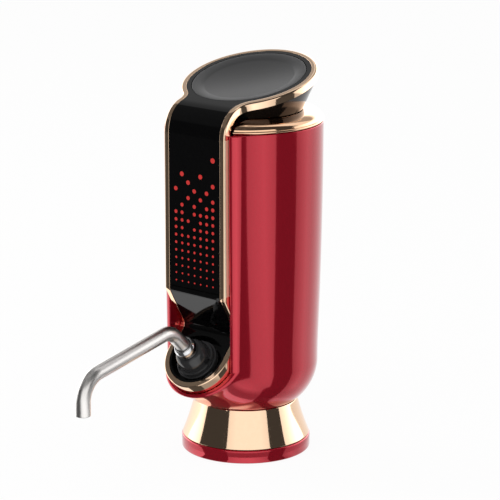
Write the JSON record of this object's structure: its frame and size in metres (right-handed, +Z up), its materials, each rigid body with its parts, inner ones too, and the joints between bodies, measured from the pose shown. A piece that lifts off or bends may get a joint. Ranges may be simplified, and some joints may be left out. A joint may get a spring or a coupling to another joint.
{
  "type": "electric wine aerator",
  "caption": "Upright electric wine aerator and pourer on a flared stand, with a tilted push-button disc on top, a dotted front indicator panel and a bent steel spout that swivels.",
  "frame": {"origin": "middle of the foot pad's underside, on the axis of the stand and the barrel", "axes": "+Z up along the barrel's axis, -Y towards the front panel and the spout, +X to the right of someone facing the front panel"},
  "size_m": [0.0744, 0.1592, 0.1909],
  "materials": {
    "red_gloss": "high gloss metallic red",
    "rose_gold": "polished rose gold plating",
    "gloss_black": "high gloss",
    "satin_black": "satin",
    "matt_black": "fine matt",
    "black_plastic": "moulded satin",
    "grey_plastic": "moulded satin",
    "rubber": "matt",
    "silicone": "translucent silicone",
    "steel": "plain",
    "spout_steel": "satin stainless steel",
    "chrome": "polished",
    "mirror_grey": "mirror polished plating",
    "copper": "wound armature",
    "cell_wrap": "blue film round a metal can",
    "board": "green solder mask"
  },
  "bodies": {
    "stand": {"stand_foot_pad": "rubber", "stand_ring": "red_gloss", "stand_cone": "rose_gold", "stand_core": "black_plastic", "stand_base_plate": "black_plastic", "stand_screw_1": "steel", "stand_screw_2": "steel", "stand_screw_3": "steel"},
    "aerator": {"body_shell": "red_gloss", "trim_frame": "rose_gold", "front_panel": "gloss_black", "recess_bowl": "gloss_black", "spout_hub": "satin_black", "hub_oring": "rubber", "hub_elbow": "black_plastic", "bottle_adapter": "black_plastic", "adapter_screw_1": "steel", "adapter_screw_2": "steel", "adapter_screw_3": "steel", "bottle_seal": "silicone", "intake_nipple": "steel", "shoulder_ring": "rose_gold", "neck_cone": "mirror_grey", "button_spring": "steel", "button_guide": "black_plastic", "button_board": "board", "tact_switch": "black_plastic", "inner_frame": "grey_plastic", "frame_screw_1": "steel", "frame_screw_2": "steel", "frame_screw_3": "steel", "pump_head": "grey_plastic", "pump_diaphragm": "rubber", "motor_can": "steel", "motor_end_cap": "black_plastic", "check_valve": "silicone", "air_hose": "silicone", "wine_hose": "silicone", "battery_holder": "grey_plastic", "battery_cell": "cell_wrap", "main_board": "board", "led_board": "board", "charge_board": "board", "charge_socket": "steel"},
    "button": {"button_disc": "matt_black"},
    "spout": {"spout_tube": "spout_steel", "spout_collar": "chrome"},
    "pump_rotor": {"motor_rotor": "copper", "pump_eccentric": "steel"}
  },
  "joints": [
    {"name": "aerator_lift", "type": "slide", "parent": "stand", "child": "aerator", "axis": [0, 0, 1], "range_m": [0, 0.06]},
    {"name": "button_press", "type": "slide", "parent": "aerator", "child": "button", "axis": [0, 0.2524, -0.9676], "range_m": [0, 0.001], "stiffness_N_per_m": 1500, "springref_m": -0.001, "deforming": ["button_spring"]},
    {"name": "spout_swivel", "type": "hinge", "parent": "aerator", "child": "spout", "pos_m": [0, -0.03846, 0.0531], "axis": [0, -0.723, 0.6909], "range_deg": [-60, 60]},
    {"name": "pump_rotor_spin", "type": "hinge", "parent": "aerator", "child": "pump_rotor", "pos_m": [-0.015, 0.00901, 0.0826], "axis": [0, 0, 1], "continuous": true}
  ]
}
